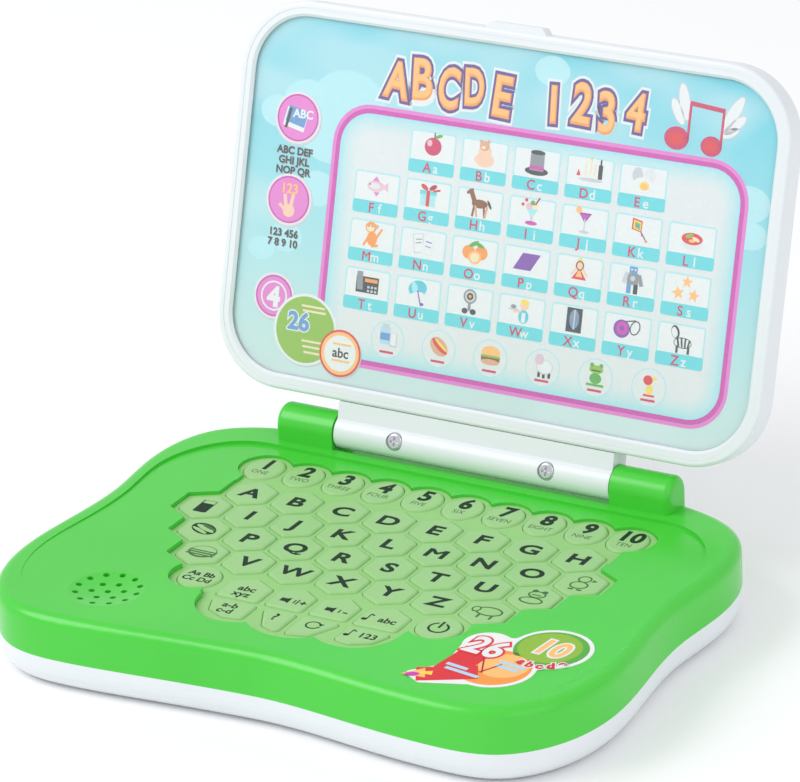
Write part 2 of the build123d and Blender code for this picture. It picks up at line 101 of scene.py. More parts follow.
# White lower casing, battery door, lid tray, ring and hinge barrel: cool white ABS with a
# smoother, glossier skin than the green casing.
white_shell = moulded_plastic("white_abs", (0.79, 0.82, 0.85), (0.765, 0.80, 0.83), 0.24, 0.08)
for name in ("base_bottom_shell", "battery_door", "lid_back_shell", "lid_front_frame",
             "hinge_barrel_cover"):
    finish_node(name, white_shell)

# Rubber keypad: a soft translucent silicone sheet under the panel, and moulded silicone pads
# that rise through it. The pads are paler than the sheet, which is thinner and lets more
# of the green casing through.
silicone = moulded_plastic("green_silicone", (0.335, 0.60, 0.235), (0.31, 0.575, 0.215), 0.40, 0.15)
silicone_shader = silicone.node_tree.nodes["Principled BSDF"]
silicone_shader.inputs["Subsurface Weight"].default_value = 0.12
silicone_shader.inputs["Subsurface Radius"].default_value = (0.001, 0.003, 0.001)
web_rubber = moulded_plastic("web_silicone", (0.30, 0.60, 0.195), (0.275, 0.57, 0.175), 0.45, 0.15)
finish_node("keypad_sheet", web_rubber)
key_nodes = [name for name in nodes if name.startswith("key_")] + ["picture_keys", "function_keys"]
for name in key_nodes:
    finish_node(name, silicone)

# Printing on the keys: dark green-black ink, stamped on the flat tops of the pads by pad
# printing. Every print in this file is a very thin solid, laid in numbered levels so that
# a later ink covers an earlier one.
ink_step = 0.018 * MM
inks = {
    "legend": (0.008, 0.03, 0.014), "pale_legend": (0.06, 0.16, 0.05), "white": (0.80, 0.82, 0.84),
    "aqua": (0.13, 0.66, 0.73), "pale_aqua": (0.40, 0.76, 0.82), "rose": (0.62, 0.06, 0.43),
    "pale_rose": (0.76, 0.21, 0.61), "berry": (0.62, 0.03, 0.13), "orange": (0.90, 0.33, 0.07),
    "light_orange": (0.98, 0.52, 0.18), "purple": (0.10, 0.06, 0.29), "violet": (0.22, 0.07, 0.42),
    "red": (0.72, 0.04, 0.05), "crimson": (0.45, 0.02, 0.06), "leaf": (0.10, 0.42, 0.06),
    "lime": (0.28, 0.50, 0.055), "yellow": (0.93, 0.68, 0.09), "tan": (0.72, 0.40, 0.26),
    "skin": (0.90, 0.60, 0.45), "brown": (0.26, 0.09, 0.03), "charcoal": (0.035, 0.035, 0.045),
    "grey": (0.27, 0.29, 0.32), "silver": (0.58, 0.61, 0.65), "pale_grey": (0.74, 0.76, 0.79),
    "blue": (0.12, 0.32, 0.62), "cyan": (0.10, 0.56, 0.70), "fish_pink": (0.80, 0.52, 0.62),
    "cream": (0.88, 0.74, 0.52), "pad": (0.335, 0.60, 0.235), "sky": (0.45, 0.68, 0.86),
    "cloud": (0.46, 0.78, 0.84), "paper": (0.74, 0.77, 0.79),
}


def printed_ink():
    """Printing ink, its colour in the piece's own ink attribute, slightly mottled."""
    material = bpy.data.materials.new("printed_ink")
    material.use_nodes = True
    tree = material.node_tree
    shader = tree.nodes["Principled BSDF"]
    colour = tree.nodes.new("ShaderNodeAttribute")
    colour.attribute_name = "ink"
    where = tree.nodes.new("ShaderNodeTexCoord")
    mottle = tree.nodes.new("ShaderNodeTexNoise")
    mottle.inputs["Scale"].default_value = 900.0
    level = tree.nodes.new("ShaderNodeMapRange")
    level.inputs["To Min"].default_value = 0.93
    level.inputs["To Max"].default_value = 1.05
    mix = tree.nodes.new("ShaderNodeMix")
    mix.data_type = "RGBA"
    mix.blend_type = "MULTIPLY"
    mix.inputs["Factor"].default_value = 1.0
    tree.links.new(where.outputs["Object"], mottle.inputs["Vector"])
    tree.links.new(mottle.outputs["Fac"], level.inputs["Value"])
    tree.links.new(colour.outputs["Color"], mix.inputs["A"])
    tree.links.new(level.outputs["Result"], mix.inputs["B"])
    tree.links.new(mix.outputs["Result"], shader.inputs["Base Color"])
    shader.inputs["Roughness"].default_value = 0.55
    shader.inputs["Specular IOR Level"].default_value = 0.2
    return material


ink_material = printed_ink()


def in_ink(piece, ink):
    """Colours a whole mesh with one ink."""
    layer = piece.data.color_attributes.new(name="ink", type="FLOAT_COLOR", domain="POINT")
    layer.data.foreach_set("color", (*inks[ink], 1.0) * len(piece.data.vertices))
    return piece


def spot(corners, x, y, wide, high, ink, level=0, turn=0.0):
    """Flat printed shape in millimetres: an ellipse, triangle, diamond or rectangle (0 corners)."""
    thick = ink_step * (level + 1)
    place = (x * MM, y * MM, thick / 2)
    angle = (0, 0, math.radians(turn))
    if corners:
        bpy.ops.mesh.primitive_cylinder_add(vertices=corners, radius=0.5, depth=1, location=place,
                                            rotation=angle)
    else:
        bpy.ops.mesh.primitive_cube_add(size=1, location=place, rotation=angle)
    piece = bpy.context.object
    piece.scale = (wide * MM, high * MM, thick)
    return in_ink(piece, ink)


half_capital = 0.36


def lettering(text, x, y, size, ink, level=0, weight=0.0, stretch=1.0, turn=0.0):
    """Printed letters as a thin solid, centred on a point, in millimetres."""
    bpy.ops.object.text_add(rotation=(0, 0, math.radians(turn)))
    piece = bpy.context.object
    thick = ink_step * (level + 1)
    piece.data.body = text
    piece.data.align_x = "CENTER"
    piece.data.size = size * MM
    piece.data.offset = weight * MM
    piece.data.extrude = thick / 2
    piece.data.resolution_u = 4
    bpy.ops.object.convert(target="MESH")
    piece = bpy.context.object
    piece.location = (x * MM, (y - half_capital * size) * MM, thick / 2)
    piece.scale = (stretch, 1, 1)
    return in_ink(piece, ink)


def star(piece):
    """Pulls every other upright edge of a ten-sided spot inwards to make a star."""
    inward = 0.45
    side_turn = 36
    for vertex in piece.data.vertices:
        if round(math.degrees(math.atan2(vertex.co.x, vertex.co.y)) / side_turn) % 2:
            vertex.co.x *= inward
            vertex.co.y *= inward
    return piece


def picture(shapes, x, y, first_level, size=1.0):
    """Small printed picture built up from overlapping spots of ink."""
    level_step = 0.35
    star_corners = 10
    smallest_star = 2
    spots = []
    for order, (corners, across, up, wide, high, ink, *turn) in enumerate(shapes):
        angle = turn[0] if turn else 0.0
        piece = spot(corners, x + size * across, y + size * up, size * wide, size * high, ink,
                     first_level + order * level_step, angle)
        is_star = corners == star_corners and wide > smallest_star
        spots.append(star(piece) if is_star else piece)
    return spots


def joined(pieces, name, place, body):
    """Joins printed shapes into one piece and lays it on its surface."""
    bpy.ops.object.select_all(action="DESELECT")
    for piece in pieces:
        piece.select_set(True)
    bpy.context.view_layer.objects.active = pieces[0]
    if len(pieces) > 1:
        bpy.ops.object.join()
    bpy.ops.object.transform_apply(location=True, rotation=True, scale=True)
    print_piece = bpy.context.object
    print_piece.name = name
    print_piece.data.materials.clear()
    print_piece.data.materials.append(ink_material)
    print_piece.matrix_world = place
    bpy.ops.object.transform_apply(location=True, rotation=True, scale=True)
    bpy.ops.object.select_all(action="DESELECT")
    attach(print_piece, body)


ink_sunk = 0.002 * MM


def pad_place(name):
    """Middle of a pad's top, just under its surface."""
    low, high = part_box(name)
    return Matrix.Translation(((low.x + high.x) / 2, (low.y + high.y) / 2, high.z - ink_sunk))


def bold_letter(letter, x, y, size, ink, weight, stretch, level=0):
    """Heavy letter; M and W, whose corners are narrow, are struck twice side by side instead."""
    if letter in "MW":
        return [lettering(letter, x + side * weight, y, size, ink, level + (side > 0), 0.0, stretch)
                for side in (-1, 1)]
    return [lettering(letter, x, y, size, ink, level, weight, stretch)]


letters = "ABCDEFGHIJKLMNOPQRSTUVWXYZ"
letter_size, letter_weight, letter_stretch = 8.8, 0.3, 1.18
for letter in letters:
    node = "key_" + letter.lower()
    stamp = bold_letter(letter, 0, 0, letter_size, "legend", letter_weight, letter_stretch)
    joined(stamp, "legend_" + letter.lower(), pad_place(node), node)

number_words = ["ONE", "TWO", "THREE", "FOUR", "FIVE", "SIX", "SEVEN", "EIGHT", "NINE", "TEN"]
digit_size, digit_up = 9.8, 3.2
word_size, word_down = 3.5, 3.0
for number, word in enumerate(number_words, start=1):
    node = f"key_{number}"
    stamp = [lettering(str(number), 0, digit_up, digit_size, "legend", weight=0.42, stretch=0.9),
             lettering(word, 0, -word_down, word_size, "pale_legend", stretch=0.86)]
    joined(stamp, f"legend_{number}", pad_place(node), node)

power_mark = [spot(40, 0, -0.3, 7.2, 7.2, "legend", 0), spot(40, 0, -0.3, 5.6, 5.6, "pad", 1),
              spot(0, 0, 2.6, 2.4, 2.6, "pad", 2), spot(0, 0, 1.8, 0.85, 4.4, "legend", 3)]
joined(power_mark, "legend_power", pad_place("key_power"), "key_power")

# Picture keys and function keys: small line signs and short letter groups in the same inks,
# stamped on the pads of two groups. Places are counted in key pitches from the middle of
# the first letter row.
key_a_low, key_a_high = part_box("key_a")
key_pitch = (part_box("key_b")[0].x - key_a_low.x) / MM
first_row = (key_a_low.y + key_a_high.y) / 2 / MM
row_drop = key_pitch * math.sqrt(3) / 2
pad_top = Matrix.Translation((0, 0, key_a_high.z - ink_sunk))
line_signs = {
    (-4.0, 1): [(0, 0, -0.2, 5.0, 8.6, "legend", 2), (0, 0, 2.9, 4.2, 2.0, "pad"),
                (0, 0, -4.2, 4.0, 1.0, "legend")],
    (-3.5, 2): [(28, 0, 0, 10.4, 6.8, "legend", -24), (28, 0.3, 0.4, 8.8, 2.3, "pad", -24),
                (28, 0.9, 1.6, 7.6, 1.6, "pale_legend", -24),
                (28, -0.8, -1.5, 7.6, 1.6, "pad", -24)],
    (-3.0, 3): [(32, 0, 0.2, 10.0, 8.4, "pale_legend"), (32, 0, 0.6, 9.0, 7.0, "pad"),
                (0, 0, -0.6, 10.2, 0.9, "pale_legend"),
                (0, 0, -2.0, 10.2, 0.8, "pale_legend"), (0, 0, 0.7, 10.2, 0.7, "pale_legend")],
    (4.0, 1): [(24, 0, 2.8, 4.8, 4.6, "pale_legend"), (24, 0, 2.8, 3.6, 3.4, "pad"),
               (24, 0, -1.6, 6.4, 5.2, "pale_legend"),
               (24, 0, -1.6, 5.2, 4.0, "pad"), (0, -1.4, -4.8, 1.8, 0.9, "pale_legend"),
               (0, 1.6, -4.8, 1.8, 0.9, "pale_legend"),
               (3, 3.4, 2.6, 2.0, 2.2, "pale_legend", -90)],
    (3.5, 2): [(28, 0, -2.4, 8.4, 4.8, "pale_legend"), (28, 0, -2.4, 7.0, 3.4, "pad"),
               (28, 0, 2.0, 6.2, 4.8, "pale_legend"),
               (28, 0, 2.0, 4.9, 3.5, "pad"), (16, -1.7, 4.2, 2.0, 2.0, "pale_legend"),
               (16, 1.7, 4.2, 2.0, 2.0, "pale_legend"), (0, 0, 1.6, 3.2, 0.6, "pale_legend")],
    (3.0, 3): [(28, 0.6, 0.4, 9.6, 6.2, "pale_legend"), (28, 0.6, 0.4, 8.2, 4.8, "pad"),
               (20, -4.0, 0.6, 3.2, 3.8, "pale_legend"),
               (20, -4.0, 0.6, 2.0, 2.6, "pad"), (0, -1.4, -3.4, 0.8, 2.4, "pale_legend"),
               (0, 3.0, -3.4, 0.8, 2.4, "pale_legend")],
}
speaker_sign = [(0, -1.6, 0, 1.8, 2.2, "legend"), (3, -0.2, 0, 4.4, 4.0, "legend", 90)]
pad_signs = []
for (cell, row), shapes in line_signs.items():
    pad_signs += picture(shapes, cell * key_pitch, first_row - row * row_drop, 0)
joined(pad_signs, "legend_pictures", pad_top, "picture_keys")


def pad_point(cell, drop):
    """Point on the keypad, in key pitches from the middle of the first letter row."""
    return cell * key_pitch, first_row + drop * key_pitch


pad_words = []
for text, cell, drop, size in (("Aa Bb", -2.5, -3.39, 3.9), ("Cc Dd", -2.5, -3.61, 3.9),
                               ("abc", -1.42, -3.58, 4.6),
                               ("xyz", -1.42, -3.80, 4.6), ("abc", 1.56, -3.66, 4.6),
                               ("a-b", -1.35, -4.28, 4.4),
                               ("c-d", -1.35, -4.50, 4.4), ("?", -0.38, -4.34, 6.2),
                               ("123", 1.54, -4.34, 4.4),
                               ("+", -0.19, -3.68, 4.6), ("-", 0.70, -3.66, 5.6)):
    pad_words.append(lettering(text, *pad_point(cell, drop), size, "legend", weight=0.12))
sound_row = -3.68
for cell, waves in ((-0.52, 2), (0.42, 1)):
    x, y = pad_point(cell, sound_row)
    pad_words += picture(speaker_sign, x, y, 0)
    for wave in range(waves):
        pad_words.append(spot(0, x + 2.6 + 1.1 * wave, y, 0.5, 2.2 + 1.2 * wave, "legend"))
for cell, drop in ((1.16, -3.66), (1.18, -4.34)):
    x, y = pad_point(cell, drop)
    pad_words += [spot(20, x - 0.8, y - 1.6, 2.0, 1.6, "legend"),
                  spot(0, x, y + 0.2, 0.45, 4.0, "legend"),
                  spot(0, x + 0.7, y + 1.9, 1.6, 0.6, "legend", 0, -30)]
x, y = pad_point(0.42, -4.36)
pad_words += [spot(32, x, y, 5.4, 5.0, "legend"), spot(32, x, y, 4.2, 3.8, "pad", 1),
              spot(0, x + 2.2, y + 0.4, 1.6, 1.6, "pad", 2),
              spot(3, x + 2.3, y + 1.0, 2.2, 2.2, "legend", 3, 180)]
joined(pad_words, "legend_functions", pad_top, "function_keys")


# Picture card of the lid: a sheet of card printed with a sky, held in the tray by the white
# ring. Everything on it is drawn in the lid's own plane, X across and Y up from the hinge
# line, and then stood up with the lid.
hinge_line = Vector(frame["joints"][0]["pos_m"])
lid_lean = math.radians(73.16)
lid_near = 10.6
lid_far = 142.3
card_top = 2.2
lid_stand = Matrix.Translation(hinge_line) @ Matrix.Rotation(lid_lean, 4, "X")
lid_print = lid_stand @ Matrix.Translation((0, 0, card_top * MM))


def rounded_plate(wide, high, corner, thick, x, y, name):
    """Flat plate with rounded corners, its back on the drawing plane, in millimetres."""
    bpy.ops.mesh.primitive_plane_add(size=1, location=(x * MM, y * MM, 0))
    plate = bpy.context.object
    plate.name = name
    plate.scale = (wide * MM, high * MM, 1)
    bpy.ops.object.transform_apply(location=True, rotation=False, scale=True)
    bpy.ops.object.mode_set(mode="EDIT")
    bpy.ops.mesh.select_all(action="SELECT")
    bpy.ops.mesh.bevel(offset=corner * MM, segments=8, affect="VERTICES")
    bpy.ops.mesh.select_all(action="SELECT")
    bpy.ops.mesh.extrude_region_move(TRANSFORM_OT_translate={"value": (0, 0, thick * MM)})
    bpy.ops.mesh.select_all(action="SELECT")
    bpy.ops.mesh.normals_make_consistent(inside=False)
    bpy.ops.object.mode_set(mode="OBJECT")
    return plate


def card(wide, high, corner, x, y, ink, level):
    """Printed rounded rectangle."""
    return in_ink(rounded_plate(wide, high, corner, ink_step / MM * (level + 1), x, y, "card"), ink)


def sky_print():
    """Sky of the picture card: aqua above, fading to near white below, with soft clouds."""
    material = bpy.data.materials.new("sky_print")
    material.use_nodes = True
    tree = material.node_tree
    shader = tree.nodes["Principled BSDF"]
    where = tree.nodes.new("ShaderNodeTexCoord")
    split = tree.nodes.new("ShaderNodeSeparateXYZ")
    height = tree.nodes.new("ShaderNodeMapRange")
    height.inputs["From Min"].default_value = 0.045
    height.inputs["From Max"].default_value = 0.165
    fade = tree.nodes.new("ShaderNodeValToRGB")
    fade.color_ramp.elements[0].position = 0.0
    fade.color_ramp.elements[0].color = (0.60, 0.75, 0.73, 1)
    fade.color_ramp.elements[1].position = 1.0
    fade.color_ramp.elements[1].color = (0.11, 0.60, 0.73, 1)
    middle = fade.color_ramp.elements.new(0.45)
    middle.color = (0.34, 0.70, 0.76, 1)
    stretch = tree.nodes.new("ShaderNodeMapping")
    stretch.inputs["Scale"].default_value = (16.0, 16.0, 30.0)
    puffs = tree.nodes.new("ShaderNodeTexNoise")
    puffs.inputs["Scale"].default_value = 1.0
    puffs.inputs["Detail"].default_value = 1.5
    edge = tree.nodes.new("ShaderNodeMapRange")
    edge.inputs["From Min"].default_value = 0.50
    edge.inputs["From Max"].default_value = 0.60
    edge.inputs["To Max"].default_value = 0.42
    mix = tree.nodes.new("ShaderNodeMix")
    mix.data_type = "RGBA"
    mix.inputs["B"].default_value = (0.66, 0.80, 0.82, 1)
    link = tree.links.new
    link(where.outputs["Object"], split.inputs["Vector"])
    link(split.outputs["Z"], height.inputs["Value"])
    link(height.outputs["Result"], fade.inputs["Fac"])
    link(where.outputs["Object"], stretch.inputs["Vector"])
    link(stretch.outputs["Vector"], puffs.inputs["Vector"])
    link(puffs.outputs["Fac"], edge.inputs["Value"])
    link(edge.outputs["Result"], mix.inputs["Factor"])
    link(fade.outputs["Color"], mix.inputs["A"])
    link(mix.outputs["Result"], shader.inputs["Base Color"])
    shader.inputs["Roughness"].default_value = 0.4
    return material


board_wide = 200.1
board_high = lid_far - lid_near - 4.9
board_middle = (lid_near + lid_far) / 2
board_corner = 22.5
board_thick = 0.8
sky = rounded_plate(board_wide, board_high, board_corner, board_thick, 0, board_middle,
                    "picture_sky")
sky.data.materials.append(sky_print())
sky.matrix_world = lid_stand @ Matrix.Translation((0, 0, (card_top - board_thick) * MM))
bpy.ops.object.transform_apply(location=True, rotation=True, scale=True)
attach(sky, "lid")
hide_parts("picture_panel")

# Pink double frame printed round the pictures, and the pale field inside it, which glows aqua
# towards its edge. The glow is carried by rings of points inset from the edge.
field_x, field_y = 11.9, 66.7
band_wide, band_high, band_corner = 154.4, 88.3, 14.0
band_rim = 2.6
band_margin = 5.8
band = [card(band_wide, band_high, band_corner, field_x, field_y, "pale_rose", 0),
        card(band_wide - band_rim, band_high - band_rim, band_corner - band_rim / 2, field_x,
             field_y, "rose", 1)]
joined(band, "picture_frame_band", lid_print, "lid")
field_wide = band_wide - band_margin
field_high = band_high - band_margin
field_corner = 11.2
field_thick = 3 * ink_step / MM
field = rounded_plate(field_wide, field_high, field_corner, field_thick, field_x, field_y,
                      "picture_field")
bpy.ops.object.mode_set(mode="EDIT")
bpy.ops.mesh.select_mode(type="FACE")
bpy.ops.mesh.select_all(action="DESELECT")
bpy.ops.object.mode_set(mode="OBJECT")
for face in field.data.polygons:
    face.select = face.normal.z > 0.9
bpy.ops.object.mode_set(mode="EDIT")
for depth in (0.0018, 0.0022, 0.0028, 0.0030):
    bpy.ops.mesh.inset(thickness=depth)
bpy.ops.object.mode_set(mode="OBJECT")


def edge_depth(point):
    """How far a point lies inside the field's rounded edge, in millimetres."""
    side = abs(point.x / MM - field_x) - (field_wide / 2 - field_corner)
    rise = abs(point.y / MM - field_y) - (field_high / 2 - field_corner)
    outside = math.hypot(max(side, 0), max(rise, 0)) + min(max(side, rise), 0)
    return field_corner - outside


glow_reach = 7.0
glow_fade = 0.7
field_edge = (0.36, 0.74, 0.80)
glow = field.data.color_attributes.new(name="ink", type="FLOAT_COLOR", domain="POINT")
for vertex in field.data.vertices:
    share = min(1.0, max(0.0, edge_depth(vertex.co) / glow_reach)) ** glow_fade
    tone = [inner * share + outer * (1 - share) for inner, outer in zip(inks["paper"], field_edge)]
    glow.data[vertex.index].color = (*tone, 1.0)
field.data.materials.append(ink_material)
field.matrix_world = lid_print
bpy.ops.object.transform_apply(location=True, rotation=True, scale=True)
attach(field, "lid")

